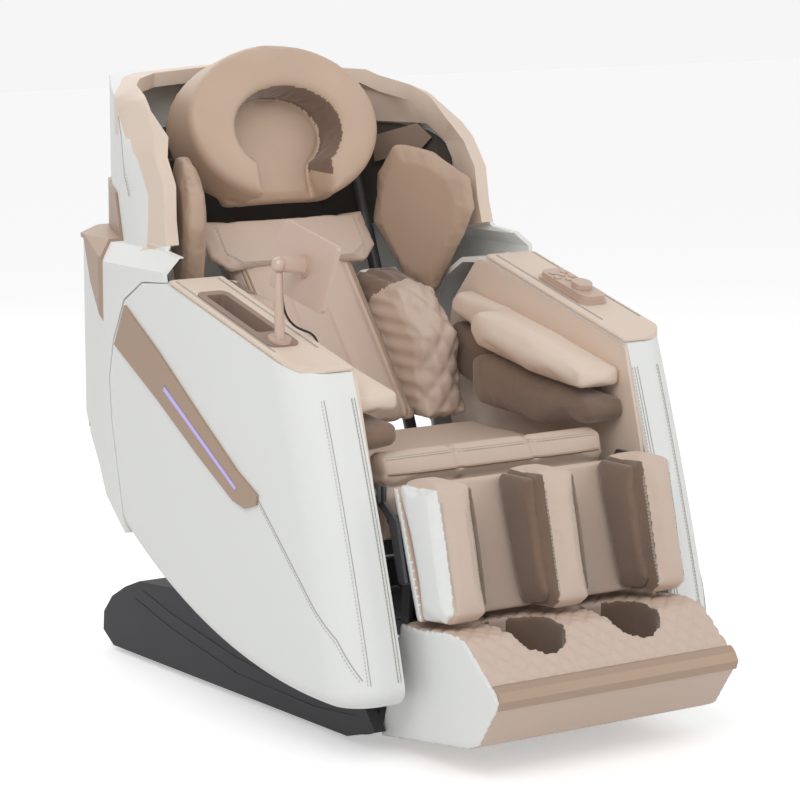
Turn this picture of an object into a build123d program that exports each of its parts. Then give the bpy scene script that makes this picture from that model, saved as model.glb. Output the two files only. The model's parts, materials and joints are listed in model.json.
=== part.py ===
from build123d import *
import math
import os

# Massage chair with a rocking body, reclining back, lifting leg rest and sliding foot section.
# Millimetres, +Z up. The sitter faces -Y, X = 0 is the middle plane and Z = 0 is the floor.

os.makedirs("parts", exist_ok=True)

# ---------------------------------------------------------------- driving dimensions
HALF_WIDTH = 400            # middle plane to the outside of an arm
ARM_INSIDE = 290            # middle plane to the open inner side of an arm shell
SHELL_WALL = 9
PANEL_THICK = 7             # inner arm panels
LEG_HALF = 250              # half width of the calf and foot sections
SEAT_HALF = 238             # half width of the seat cushion
SOFT_GAP = 0.4              # air left round soft pieces
BODY_GAP = 4                # air between shells of different bodies
JOINT_GAP = 0.3             # air between a moving piece and its neighbour
SHAFT_GAP = 0.05            # radial running clearance of a shaft in its hole

BASE_HALF = 276             # outside of the base covers
BASE_INSIDE = 254           # inside of the base covers
FOOT_HEIGHT = 10            # rubber feet
COVER_WALL = 3.5

ROCK_CENTRE_Y = -333        # centre of the arc that the rocking body slides on
ROCK_CENTRE_Z = 1256
SHELL_ARC = 1150            # radius of the shells' lower edge
RAIL_ARC = 1146             # radius of the rocker rails' lower edge
RAIL_DEPTH = 24
RAIL_INSIDE = 150           # inner side of a rocker rail
RAIL_THICK = 8
ROLLER_RADIUS = 22
ROLLER_WIDTH = 20
AXLE_RADIUS = 8
FRONT_AXLE_Y = -200
REAR_AXLE_Y = 40
BRACKET_INSIDE = 172        # roller brackets on the base frame
BRACKET_THICK = 6

BACK_PIVOT_Y = 245
BACK_PIVOT_Z = 290
LEG_PIVOT_Y = -318
LEG_PIVOT_Z = 440
PIVOT_RADIUS = 8
HINGE_PLATE = 6
BODY_PLATE_INSIDE = 263     # hinge plates of the seat frame
CHILD_PLATE_INSIDE = 253.5  # hinge plates of the back and leg frames

BEAM_INSIDE = 224           # seat frame side beams
BEAM_WIDTH = 24
BEAM_LOW = 318
BEAM_HEIGHT = 28

ARM_TILT = 15               # slope of the arm tops, rising to the rear
ARM_REF_Y = -62             # a point on the arm top's middle line
ARM_REF_Z = 710
ARM_TOP_X = 355             # middle of the tray and the post on the left arm top
CAP_THICK = 9

BACK_LEAN = 37.8            # lean of the back cushion from the vertical
BACK_FOOT_Y = 110           # lower end of the back cushion's face
BACK_FOOT_Z = 455
CUSHION_DEEP = 42
PILLOW_LEAN = 19
PILLOW_Y = 405
PILLOW_Z = 985

CASTER_RADIUS = 25
CASTER_WIDTH = 24
CASTER_Y = 520
CASTER_X = 190

BUTTON_RADIUS = 7
BUTTON_TRAVEL = 1.2
BUTTON_GAP = 0.4
KNOB_RADIUS = 19


# ---------------------------------------------------------------- helpers
def save(builder, name):
    """Label a finished piece and write it as its own file."""
    builder.part.label = name
    export_step(builder.part, f"parts/{name}.step")


def save_both(right, name):
    """Write a right-hand piece and its mirror image as the two solids of one file."""
    with BuildPart() as both:
        add(right.part)
        mirror(right.part, about=Plane.YZ)
    save(both, name)


def slab(outline, x_from, x_to, corner=0.0, inset=0.0):
    """A side-view outline of (Y, Z) points, drawn out along X, its corners rounded."""
    with BuildPart() as body:
        with BuildSketch(Plane.YZ.offset(x_from)) as side:
            with BuildLine():
                Polyline(*outline, close=True)
            make_face()
            if inset:
                offset(amount=-inset, kind=Kind.INTERSECTION)
            if corner:
                fillet(side.vertices(), corner)
        extrude(amount=x_to - x_from)
    return body


def soft(outline, x_from, x_to, corner, edge):
    """A cushion: a rounded slab whose two side edges are rounded as well."""
    body = slab(outline, x_from, x_to, corner)
    with BuildPart() as cushion:
        add(body.part)
        fillet(cushion.faces().sort_by(Axis.X)[0].edges(), edge)
        fillet(cushion.faces().sort_by(Axis.X)[-1].edges(), edge)
    return cushion


def arc_point(radius, y):
    """A point (Y, Z) at this Y on a circle round the rocking centre."""
    return (y, ROCK_CENTRE_Z - math.sqrt(radius ** 2 - (y - ROCK_CENTRE_Y) ** 2))


def arm_top(y, rise=0.0):
    """Height of the arm's top plane at this Y, raised square to the plane."""
    slope = math.tan(math.radians(ARM_TILT))
    return ARM_REF_Z + slope * (y - ARM_REF_Y) + rise / math.cos(math.radians(ARM_TILT))


def back_point(along, deep):
    """A point (Y, Z) this far up the back cushion's face and this deep behind it."""
    lean = math.radians(BACK_LEAN)
    y = BACK_FOOT_Y + along * math.sin(lean) + deep * math.cos(lean)
    z = BACK_FOOT_Z + along * math.cos(lean) - deep * math.sin(lean)
    return (y, z)


def back_plane(along, deep, x=0.0):
    """Plane on the back's face: local x is X, local y runs up the back, z towards the sitter."""
    lean = math.radians(BACK_LEAN)
    y, z = back_point(along, deep)
    return Plane(origin=(x, y, z), x_dir=(1, 0, 0), z_dir=(0, -math.cos(lean), math.sin(lean)))


def arm_plane(x, y, rise=0.0):
    """Plane on the arm's top: local x is X, local y runs up the slope, z out of the arm."""
    tilt = math.radians(ARM_TILT)
    return Plane(origin=(x, y, arm_top(y, rise)), x_dir=(1, 0, 0),
                 z_dir=(0, -math.sin(tilt), math.cos(tilt)))


# ================================================================ BASE
base_outline = [(-334, 34), (-250, FOOT_HEIGHT), (545, FOOT_HEIGHT), (583, 34), (580, 70),
                (548, 105), (498, 132), (445, 152), (336, 160), (200, 152), (0, 126),
                (-200, 96), (-300, 78)]
cover_body = slab(base_outline, BASE_INSIDE, BASE_HALF)
cover_room = slab(base_outline, BASE_INSIDE - 1, BASE_HALF - COVER_WALL, inset=COVER_WALL)
sweep_low = slab([(-290, 52), (-150, 40), (100, 46), (330, 84), (470, 118), (330, 96), (100, 58),
                  (-150, 51)], BASE_HALF - 1.2, BASE_HALF + 1)
sweep_high = slab([(-250, 70), (-100, 62), (100, 74), (330, 112), (440, 138), (330, 122), (100, 86),
                   (-100, 72)], BASE_HALF - 1.2, BASE_HALF + 1)
with BuildPart() as base_cover:
    add(cover_body.part)
    add(cover_room.part, mode=Mode.SUBTRACT)
    add(sweep_low.part, mode=Mode.SUBTRACT)
    add(sweep_high.part, mode=Mode.SUBTRACT)

# Rear cover: closes the base between the side covers behind the rocker rails.
REAR_COVER_FRONT = 330
rear_outline = [(REAR_COVER_FRONT, FOOT_HEIGHT + 4), (545, FOOT_HEIGHT), (583, 34), (580, 70),
                (548, 105), (498, 132), (445, 152), (336, 160), (REAR_COVER_FRONT, 160)]
rear_body = slab(rear_outline, -BASE_INSIDE + SOFT_GAP, BASE_INSIDE - SOFT_GAP)
rear_room = slab([(REAR_COVER_FRONT - 1, 0), (545, 0), (579, 36), (576, 68), (545, 101),
                  (496, 128), (444, 148), (336, 156), (REAR_COVER_FRONT - 1, 156)],
                 -BASE_INSIDE + 4, BASE_INSIDE - 4)
with BuildPart() as base_rear_cover:
    add(rear_body.part)
    add(rear_room.part, mode=Mode.SUBTRACT)
with BuildPart() as base_covers:
    add(base_cover.part)
    mirror(base_cover.part, about=Plane.YZ)
    add(base_rear_cover.part)
save(base_covers, "base_covers")

# Base frame: two long box tubes, three cross tubes and the roller brackets.
TUBE = 30
FRAME_LOW = FOOT_HEIGHT + 6
LONG_TUBE_X = 215
CROSS_TUBES_Y = (-225, 150, 475)
with BuildPart() as base_frame:
    for side in (-1, 1):
        with BuildSketch(Plane.XZ.offset(240)):
            with Locations((side * LONG_TUBE_X, FRAME_LOW + TUBE / 2)):
                Rectangle(TUBE, TUBE)
                Rectangle(TUBE - 5, TUBE - 5, mode=Mode.SUBTRACT)
        extrude(amount=-730)
    for cross_y in CROSS_TUBES_Y:
        with BuildSketch(Plane.YZ.offset(-LONG_TUBE_X + TUBE / 2)):
            with Locations((cross_y, FRAME_LOW + TUBE / 2)):
                Rectangle(TUBE, TUBE)
                Rectangle(TUBE - 5, TUBE - 5, mode=Mode.SUBTRACT)
        extrude(amount=2 * LONG_TUBE_X - TUBE)

# Roller brackets: one upright plate at each roller, with a keeper pin above the rail.
AXLE_ARC = RAIL_ARC + JOINT_GAP + ROLLER_RADIUS
KEEPER_RADIUS = 7
KEEPER_ARC = RAIL_ARC - RAIL_DEPTH - 0.5 - KEEPER_RADIUS
with BuildPart() as roller_brackets:
    for side in (-1, 1):
        for axle_y in (FRONT_AXLE_Y, REAR_AXLE_Y):
            axle = arc_point(AXLE_ARC, axle_y)
            keeper = arc_point(KEEPER_ARC, axle_y + 8)
            plate_from = side * BRACKET_INSIDE
            with BuildSketch(Plane.YZ.offset(plate_from)):
                with BuildLine():
                    Polyline((axle_y - 26, FRAME_LOW + TUBE), (axle_y + 34, FRAME_LOW + TUBE),
                             (axle_y + 30, keeper[1] + 14), (axle_y - 16, keeper[1] + 14), close=True)
                make_face()
                with Locations(axle):
                    Circle(AXLE_RADIUS + SHAFT_GAP, mode=Mode.SUBTRACT)
            extrude(amount=side * BRACKET_THICK)
            with BuildSketch(Plane.YZ.offset(plate_from)):
                with Locations(keeper):
                    Circle(KEEPER_RADIUS)
            extrude(amount=-side * (BRACKET_INSIDE - RAIL_INSIDE))
            with BuildSketch(Plane.XY.offset(FRAME_LOW + TUBE)):
                with Locations((side * (BRACKET_INSIDE + 22), axle_y + 4)):
                    Rectangle(44, 60)
            extrude(amount=5)

# Rubber feet under the long tubes.
with BuildPart() as rubber_feet:
    with BuildSketch(Plane.XY):
        for foot_y in (-215, 130, 455):
            with Locations((-LONG_TUBE_X, foot_y), (LONG_TUBE_X, foot_y)):
                Circle(17)
    extrude(amount=FRAME_LOW, taper=4)
save(rubber_feet, "rubber_feet")


def axle_body(axle_y):
    """A shaft with its two rubber-tyred support rollers."""
    centre = arc_point(AXLE_ARC, axle_y)
    shaft_half = BRACKET_INSIDE + BRACKET_THICK + 6
    with BuildPart() as axle:
        with BuildSketch(Plane.YZ.offset(-shaft_half)):
            with Locations(centre):
                Circle(AXLE_RADIUS)
        extrude(amount=2 * shaft_half)
        for side in (-1, 1):
            roller_middle = side * (RAIL_INSIDE + RAIL_THICK / 2)
            with BuildSketch(Plane.YZ.offset(roller_middle - ROLLER_WIDTH / 2)):
                with Locations(centre):
                    Circle(ROLLER_RADIUS)
            extrude(amount=ROLLER_WIDTH)
    return axle


save(axle_body(FRONT_AXLE_Y), "front_roller_axle")
save(axle_body(REAR_AXLE_Y), "rear_drive_axle")

# Rocking gear motor: sits on the base frame and turns the rear axle through its side.
MOTOR_Y, MOTOR_Z = arc_point(AXLE_ARC, REAR_AXLE_Y)
with BuildPart() as rocking_motor:
    with BuildSketch(Plane.YZ.offset(-60)):
        with Locations((MOTOR_Y, MOTOR_Z)):
            Circle(30)
    extrude(amount=90)
    with BuildSketch(Plane.YZ.offset(-50)):
        with Locations((MOTOR_Y + 70, MOTOR_Z - 38)):
            Rectangle(130, 56)
    extrude(amount=70)
    with BuildSketch(Plane.YZ.offset(-70)):
        with Locations((MOTOR_Y, MOTOR_Z)):
            Circle(AXLE_RADIUS + SHAFT_GAP)
    extrude(amount=120, mode=Mode.SUBTRACT)
    with BuildSketch(Plane.XY.offset(FRAME_LOW + TUBE)):
        with Locations((-15, 150)):
            Rectangle(70, 44)
    extrude(amount=MOTOR_Z - 60 - FRAME_LOW - TUBE)
save(rocking_motor, "rocking_motor")

# Transport casters at the rear of the base.
with BuildPart() as caster_brackets:
    for side in (-1, 1):
        for cheek in (-1, 1):
            cheek_x = side * CASTER_X + cheek * (CASTER_WIDTH / 2 + 1.5)
            with BuildSketch(Plane.YZ.offset(cheek_x)):
                with BuildLine():
                    Polyline((490, FRAME_LOW), (490, FRAME_LOW + TUBE), (506, 54), (538, 52),
                             (536, 22), (510, 20), close=True)
                make_face()
            extrude(amount=cheek * 3)
        with BuildSketch(Plane.YZ.offset(side * CASTER_X - CASTER_WIDTH / 2 - 4.5)):
            with Locations((CASTER_Y, CASTER_RADIUS + 8)):
                Circle(4)
        extrude(amount=CASTER_WIDTH + 9)
with BuildPart() as welded_base:
    add(base_frame.part)
    add(roller_brackets.part)
    add(caster_brackets.part)
save(welded_base, "base_frame")
for side, hand in ((-1, "left"), (1, "right")):
    with BuildPart() as caster_wheel:
        with BuildSketch(Plane.YZ.offset(side * CASTER_X - CASTER_WIDTH / 2)):
            with Locations((CASTER_Y, CASTER_RADIUS + 8)):
                Circle(CASTER_RADIUS)
                Circle(4 + SHAFT_GAP, mode=Mode.SUBTRACT)
        extrude(amount=CASTER_WIDTH)
    save(caster_wheel, "caster_wheel_" + hand)

# ================================================================ ROCKING SEAT BODY
RAIL_FRONT_Y = -250
RAIL_REAR_Y = 296
with BuildPart() as rocker_rails:
    for side in (-1, 1):
        with BuildSketch(Plane.YZ.offset(side * RAIL_INSIDE)):
            with BuildLine():
                lower = ThreePointArc(arc_point(RAIL_ARC, RAIL_FRONT_Y), arc_point(RAIL_ARC, 20),
                                      arc_point(RAIL_ARC, RAIL_REAR_Y))
                upper = ThreePointArc(arc_point(RAIL_ARC - RAIL_DEPTH, RAIL_FRONT_Y),
                                      arc_point(RAIL_ARC - RAIL_DEPTH, 20),
                                      arc_point(RAIL_ARC - RAIL_DEPTH, RAIL_REAR_Y - 10))
                Line(lower @ 0, upper @ 0)
                Line(lower @ 1, upper @ 1)
            make_face()
        extrude(amount=side * RAIL_THICK)

# Seat frame: side beams, cross tubes, struts down to the rails and the hinge plates.
CROSS_Y = (-262, -20, 226)
CROSS_SIZE = 24
with BuildPart() as seat_frame:
    for side in (-1, 1):
        with BuildSketch(Plane.XZ.offset(280)):
            with Locations((side * (BEAM_INSIDE + BEAM_WIDTH / 2), BEAM_LOW + BEAM_HEIGHT / 2)):
                Rectangle(BEAM_WIDTH, BEAM_HEIGHT)
        extrude(amount=-530)
        for strut_y in CROSS_Y:
            with BuildSketch(Plane.YZ.offset(side * RAIL_INSIDE)):
                with BuildLine():
                    Polyline((strut_y - 12, BEAM_LOW + 2), (strut_y + 12, BEAM_LOW + 2),
                             arc_point(RAIL_ARC - RAIL_DEPTH + 3, strut_y + 26),
                             arc_point(RAIL_ARC - RAIL_DEPTH + 3, strut_y + 4), close=True)
                make_face()
            extrude(amount=side * RAIL_THICK)
        plate_from = side * BODY_PLATE_INSIDE
        with BuildSketch(Plane.YZ.offset(plate_from)):
            with BuildLine():
                Polyline((-334, 426), (-300, 400), (-262, BEAM_LOW), (-200, BEAM_LOW), (-240, 380),
                         (-296, 456), (-334, 456), close=True)
            make_face()
            with Locations((LEG_PIVOT_Y, LEG_PIVOT_Z)):
                Circle(PIVOT_RADIUS, mode=Mode.SUBTRACT)
        extrude(amount=side * HINGE_PLATE)
        with BuildSketch(Plane.YZ.offset(plate_from)):
            with BuildLine():
                Polyline((170, BEAM_LOW), (228, 270), (264, 270), (264, 310), (200, BEAM_LOW + 28),
                         (150, BEAM_LOW + 28), close=True)
            make_face()
            with Locations((BACK_PIVOT_Y, BACK_PIVOT_Z)):
                Circle(PIVOT_RADIUS, mode=Mode.SUBTRACT)
        extrude(amount=side * HINGE_PLATE)
        for block_y, block_long in ((-224, 40), (172, 36)):
            with BuildSketch(Plane.YZ.offset(side * (BEAM_INSIDE + BEAM_WIDTH))):
                with Locations((block_y, BEAM_LOW + BEAM_HEIGHT / 2)):
                    Rectangle(block_long, BEAM_HEIGHT - 4)
            extrude(amount=side * (BODY_PLATE_INSIDE - BEAM_INSIDE - BEAM_WIDTH))
    for cross_y in CROSS_Y:
        with BuildSketch(Plane.YZ.offset(-BEAM_INSIDE)):
            with Locations((cross_y, BEAM_LOW + BEAM_HEIGHT / 2)):
                Rectangle(CROSS_SIZE, CROSS_SIZE)
        extrude(amount=2 * BEAM_INSIDE)
with BuildPart() as welded_seat:
    add(seat_frame.part)
    add(rocker_rails.part)
save(welded_seat, "seat_frame")

# Hinge pins: two for the leg rest at the front, two for the back at the rear.
PIN_REACH = BODY_PLATE_INSIDE + HINGE_PLATE
with BuildPart() as hinge_pins:
    for side in (-1, 1):
        for pivot in ((LEG_PIVOT_Y, LEG_PIVOT_Z), (BACK_PIVOT_Y, BACK_PIVOT_Z)):
            with BuildSketch(Plane.YZ.offset(side * (CHILD_PLATE_INSIDE - 4))):
                with Locations(pivot):
                    Circle(PIVOT_RADIUS)
            extrude(amount=side * (PIN_REACH - CHILD_PLATE_INSIDE + 7))
            with BuildSketch(Plane.YZ.offset(side * PIN_REACH)):
                with Locations(pivot):
                    Circle(PIVOT_RADIUS + 3)
            extrude(amount=side * 3)
save(hinge_pins, "hinge_pins")

# ---- left arm top: a tray with a well, and the tablet's post on its front end
TRAY_MIDDLE_Y = -68
TRAY_LONG = 250
TRAY_WIDE = 62
WELL_MIDDLE = 22            # along the tray from its middle
WELL_LONG = 172
WELL_WIDE = 38
WELL_DEEP = 34
WELL_WALL = 2
TRAY_PLATE = 3
tray_plane = arm_plane(-ARM_TOP_X, TRAY_MIDDLE_Y)
with BuildPart() as tray_cut:
    with BuildSketch(tray_plane.offset(TRAY_PLATE)):
        with Locations((0, WELL_MIDDLE)):
            RectangleRounded(WELL_WIDE + 2 * WELL_WALL + 1, WELL_LONG + 2 * WELL_WALL + 1, 10)
    extrude(amount=-60)

# ---- arm pods: outer shell, leather cap and inner panel
FRONT_BOTTOM = (-450, 106)
FRONT_TOP = (-290, arm_top(-290) - CAP_THICK)
SEAM = [(127, arm_top(127) - CAP_THICK), (205, 745), (268, 708), (308, 632), (325, 562), (318, 480), (300, 400), (274, 284)]


def arm_pod(inset, x_from, x_to, front_round, edge_round):
    """The arm's closed side shape between two X values, shrunk by inset."""
    with BuildPart() as pod:
        with BuildSketch(Plane.YZ.offset(x_from)):
            with BuildLine():
                Polyline(FRONT_TOP, *SEAM)
                ThreePointArc(SEAM[-1], arc_point(SHELL_ARC, -90), FRONT_BOTTOM)
                ThreePointArc(FRONT_BOTTOM, (-386, 345), FRONT_TOP)
            make_face()
            if inset:
                offset(amount=-inset, kind=Kind.INTERSECTION)
        extrude(amount=x_to - x_from)
        outer = pod.faces().sort_by(Axis.X)[-1]
        fillet(outer.edges().sort_by(Axis.Y)[0], front_round)
        outer = pod.faces().filter_by(Axis.X).sort_by(Axis.X)[-1]
        fillet(outer.edges().sort_by(Axis.Z)[0], edge_round)
    return pod


pod_outside = arm_pod(0, ARM_INSIDE, HALF_WIDTH, 76, 30)
pod_inside = arm_pod(SHELL_WALL, ARM_INSIDE - 12, HALF_WIDTH - SHELL_WALL, 67, 21)
with BuildPart() as side_shell:
    add(pod_outside.part)
    add(pod_inside.part, mode=Mode.SUBTRACT)
save(side_shell, "side_shell_right")
with BuildPart() as side_shell_left:
    mirror(side_shell.part, about=Plane.YZ)
    add(tray_cut.part, mode=Mode.SUBTRACT)
save(side_shell_left, "side_shell_left")

CAP_FRONT = -288
CAP_REAR = 124
with BuildPart() as arm_cap:
    with BuildSketch(Plane.YZ.offset(ARM_INSIDE - 6)):
        with BuildLine():
            Polyline((CAP_FRONT, arm_top(CAP_FRONT) - CAP_THICK + SOFT_GAP),
                     (CAP_REAR, arm_top(CAP_REAR) - CAP_THICK + SOFT_GAP),
                     (CAP_REAR, arm_top(CAP_REAR)),
                     (CAP_FRONT, arm_top(CAP_FRONT)), close=True)
        make_face()
    extrude(amount=HALF_WIDTH - ARM_INSIDE + 2)
    fillet(arm_cap.faces().sort_by(Axis.X)[-1].edges().group_by(Axis.Z)[-1], 4)
with BuildPart() as arm_cap_left:
    mirror(arm_cap.part, about=Plane.YZ)
    add(tray_cut.part, mode=Mode.SUBTRACT)
with BuildPart() as arm_tops:
    add(arm_cap.part)
    add(arm_cap_left.part)
save(arm_tops, "arm_tops")

PANEL_OUT = ARM_INSIDE - 0.5
inner_panel = slab([(-292, arm_top(-292) - 14), (127, arm_top(127) - 14), (150, 745), (225, 660), (250, 520),
                    (205, 360), (-100, 332), (-366, 332), (-338, 470)],
                   PANEL_OUT - PANEL_THICK, PANEL_OUT)
save_both(inner_panel, "inner_arm_panels")

PANEL_FACE = PANEL_OUT - PANEL_THICK
upper_pad_shape = soft([(-284, 566), (-284, 598), (-120, 640), (150, 690), (168, 672), (168, 650),
                        (30, 606), (-120, 578)], 238, PANEL_FACE - SOFT_GAP, 8, 9)
upper_pad_front = soft([(-284, 566), (-284, 598), (-120, 640), (30, 668), (52, 655), (52, 630),
                        (30, 606), (-120, 578)], 192, 262, 8, 9)
with BuildPart() as upper_forearm_pad:
    add(upper_pad_shape.part)
    add(upper_pad_front.part)
save_both(upper_forearm_pad, "upper_forearm_pads")

lower_pad_shape = soft([(-296, 520), (-290, 545), (-120, 564), (30, 590), (168, 632), (186, 610), (186, 540),
                        (30, 500), (-150, 486), (-240, 504), (-286, 508)], 242, PANEL_FACE - SOFT_GAP, 8, 9)
lower_pad_front = soft([(-296, 520), (-290, 545), (-120, 564), (30, 590), (50, 580), (50, 520),
                        (30, 500), (-150, 486), (-240, 504), (-286, 508)], 200, 262, 8, 9)
with BuildPart() as lower_forearm_pad:
    add(lower_pad_shape.part)
    add(lower_pad_front.part)
save_both(lower_forearm_pad, "lower_forearm_pads")

# Bronze band on the arm shell and the light strip set into it.
BAND_STAND = 5
band_front = slab([(263, 700), (150, 632), (0, 530), (-110, 458), (-173, 427), (-170, 410),
                   (-134, 398), (-96, 406), (17, 467), (150, 545), (300, 626)],
                  HALF_WIDTH + 0.1, HALF_WIDTH + BAND_STAND)
light_room = slab([(126, 575), (-110, 431), (-106, 424), (130, 564)], HALF_WIDTH - 1,
                  HALF_WIDTH + BAND_STAND + 1)
with BuildPart() as side_band:
    add(band_front.part)
    add(light_room.part, mode=Mode.SUBTRACT)
save_both(side_band, "side_bands")
light_right = slab([(125, 573), (-109, 430.5), (-105.5, 425), (129, 565)], HALF_WIDTH + 0.1,
                   HALF_WIDTH + BAND_STAND + 0.8)
with BuildPart() as light_strips:
    add(light_right.part)
    mirror(light_right.part, about=Plane.YZ)
save(light_strips, "light_strips")

# Seat cushion and the two rolls at its front edge.
seat_cushion = soft([(-244, 356), (-244, 446), (-120, 456), (60, 456), (112, 444), (150, 356)],
                    -SEAT_HALF, SEAT_HALF, 14, 12)
save(seat_cushion, "seat_cushion")
seat_roll = soft([(-300, 462), (-292, 492), (-262, 498), (-246, 486), (-246, 458), (-262, 444),
                  (-292, 444)], -SEAT_HALF, SEAT_HALF, 6, 8)
seat_apron = soft([(-296, 348), (-300, 420), (-290, 443), (-250, 443), (-246, 430), (-246, 348)],
                  -SEAT_HALF, SEAT_HALF, 6, 8)
with BuildPart() as seat_front_rolls:
    add(seat_roll.part)
    add(seat_apron.part)
save(seat_front_rolls, "seat_front_rolls")
with BuildPart() as seat_pan:
    with BuildSketch(Plane.XY.offset(BEAM_LOW + BEAM_HEIGHT)):
        with Locations((0, -50)):
            Rectangle(2 * SEAT_HALF - 20, 384)
    extrude(amount=9)
save(seat_pan, "seat_pan")

# Machinery hung under the seat pan.
UNDER_SEAT = BEAM_LOW + 2
with BuildPart() as air_pump:
    with BuildSketch(Plane.XY.offset(UNDER_SEAT + CROSS_SIZE + 2)):
        with Locations((-60, 100)):
            RectangleRounded(150, 110, 14)
    extrude(amount=-96)
    fillet(air_pump.faces().sort_by(Axis.Z)[0].edges(), 8)
save(air_pump, "air_pump")
with BuildPart() as control_box:
    with BuildSketch(Plane.XY.offset(UNDER_SEAT + CROSS_SIZE + 2)):
        with Locations((20, -140)):
            RectangleRounded(220, 130, 8)
    extrude(amount=-62)
    fillet(control_box.faces().sort_by(Axis.Z)[0].edges(), 4)
save(control_box, "control_box")
with BuildPart() as gear_motors:
    for motor_y, motor_z, motor_x in ((-262, BEAM_LOW - 33, 60), (226, BEAM_LOW - 33, 40)):
        with BuildSketch(Plane.YZ.offset(motor_x)):
            with Locations((motor_y, motor_z)):
                Circle(30)
        extrude(amount=80)
        with BuildSketch(Plane.XY.offset(motor_z + 20)):
            with Locations((motor_x + 40, motor_y)):
                Rectangle(60, 22)
        extrude(amount=BEAM_LOW + 2 - motor_z - 20)
save(gear_motors, "gear_motors")


with BuildPart() as storage_tray:
    with BuildSketch(tray_plane.offset(JOINT_GAP)):
        RectangleRounded(TRAY_WIDE, TRAY_LONG, 16)
    extrude(amount=TRAY_PLATE)
    with BuildSketch(tray_plane.offset(JOINT_GAP)):
        with Locations((0, WELL_MIDDLE)):
            RectangleRounded(WELL_WIDE + 2 * WELL_WALL, WELL_LONG + 2 * WELL_WALL, 9)
    extrude(amount=-WELL_DEEP)
    with BuildSketch(tray_plane.offset(TRAY_PLATE + 1)):
        with Locations((0, WELL_MIDDLE)):
            RectangleRounded(WELL_WIDE, WELL_LONG, 7)
    extrude(amount=-WELL_DEEP - 1, mode=Mode.SUBTRACT)
save(storage_tray, "storage_tray")

POST_X = -ARM_TOP_X - 2
POST_Y = -172
POST_DISC = 6
POST_HIGH = 114
POST_RISE = TRAY_PLATE + 2 * JOINT_GAP
POST_FOOT_Z = arm_top(POST_Y, POST_RISE)
POST_TOP_Z = POST_FOOT_Z + POST_HIGH
SWIVEL_STUB = 14
with BuildPart() as tablet_post:
    with BuildSketch(arm_plane(POST_X, POST_Y, POST_RISE)):
        Circle(20)
    extrude(amount=POST_DISC)
    with BuildSketch(Plane.XY.offset(POST_FOOT_Z + 4)):
        with Locations((POST_X, POST_Y)):
            Circle(9)
    with BuildSketch(Plane.XY.offset(POST_TOP_Z)):
        with Locations((POST_X, POST_Y)):
            Circle(6)
    loft()
    with BuildSketch(Plane.XY.offset(POST_TOP_Z)):
        with Locations((POST_X, POST_Y)):
            Circle(3.5)
    extrude(amount=SWIVEL_STUB)
save(tablet_post, "tablet_post")

# Swivel head: a knuckle that turns on the post's stub and carries the tilt pin.
KNUCKLE_Z = POST_TOP_Z + 14
tablet_axis = Vector(0.988, 0.06, -0.14).normalized()      # from the knuckle towards the tablet
tablet_up = Vector(0.145, -0.21, 0.967)
HEAD_LONG = 44
with BuildPart() as head_cone:
    with BuildSketch(Plane(origin=(POST_X, POST_Y, KNUCKLE_Z), z_dir=tablet_axis)):
        Circle(11)
    with BuildSketch(Plane(origin=Vector(POST_X, POST_Y, KNUCKLE_Z) + tablet_axis * HEAD_LONG,
                           z_dir=tablet_axis)):
        Circle(19)
    loft()
with BuildPart() as tablet_swivel:
    with Locations((POST_X, POST_Y, KNUCKLE_Z)):
        Sphere(13)
    add(head_cone.part)
    with BuildSketch(Plane.XY.offset(POST_TOP_Z + JOINT_GAP - 40)):
        with Locations((POST_X, POST_Y)):
            Circle(40)
    extrude(amount=40, mode=Mode.SUBTRACT)
    with BuildSketch(Plane.XY.offset(POST_TOP_Z - 1)):
        with Locations((POST_X, POST_Y)):
            Circle(3.5 + SHAFT_GAP)
    extrude(amount=SWIVEL_STUB + 1.5, mode=Mode.SUBTRACT)
save(tablet_swivel, "tablet_swivel_head")

# Tablet: a round boss on its back turns on the head's face, so the screen can be rolled upright.
TABLET_WIDE = 158
TABLET_HIGH = 118
TABLET_THICK = 9
BOSS_THICK = 5
boss_origin = Vector(POST_X, POST_Y, KNUCKLE_Z) + tablet_axis * (HEAD_LONG + JOINT_GAP)
tablet_side = tablet_axis.cross(tablet_up).normalized()
with BuildPart() as tablet:
    with BuildSketch(Plane(origin=boss_origin, x_dir=tablet_side, z_dir=tablet_axis)):
        Circle(21)
    extrude(amount=BOSS_THICK)
    with BuildSketch(Plane(origin=boss_origin + tablet_axis * BOSS_THICK, x_dir=tablet_side,
                           z_dir=tablet_axis)):
        with Locations((0, 0)):
            RectangleRounded(TABLET_WIDE, TABLET_HIGH, 9)
    extrude(amount=TABLET_THICK)
save(tablet, "tablet")

# Tablet cable: leaves the swivel head behind the post and goes into the arm beside the cap.
CABLE_RADIUS = 2
cable_points = [(-350.5, -165.5, 787), (-344.5, -160, 775), (-341.5, -157, 759), (-339, -156, 742),
                (-334.5, -156, 726), (-326, -157, 712), (-314.5, -158.5, 702), (-302, -160.5, 696),
                (-291, -162.5, 692), (-281.5, -164.5, 684), (-276.5, -166.5, 672), (-277.4, -168.5, 662),
                (-278.2, -170, 656)]


def bend_radii(points):
    """Bend radii that use 0.45 of the shorter of the two runs at each corner."""
    radii = []
    for before, corner, after in zip(points, points[1:], points[2:]):
        run_in = Vector(corner) - Vector(before)
        run_out = Vector(after) - Vector(corner)
        half_turn = math.radians(run_in.get_angle(run_out)) / 2
        radii.append(0.45 * min(run_in.length, run_out.length) / math.tan(half_turn))
    return radii


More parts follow.
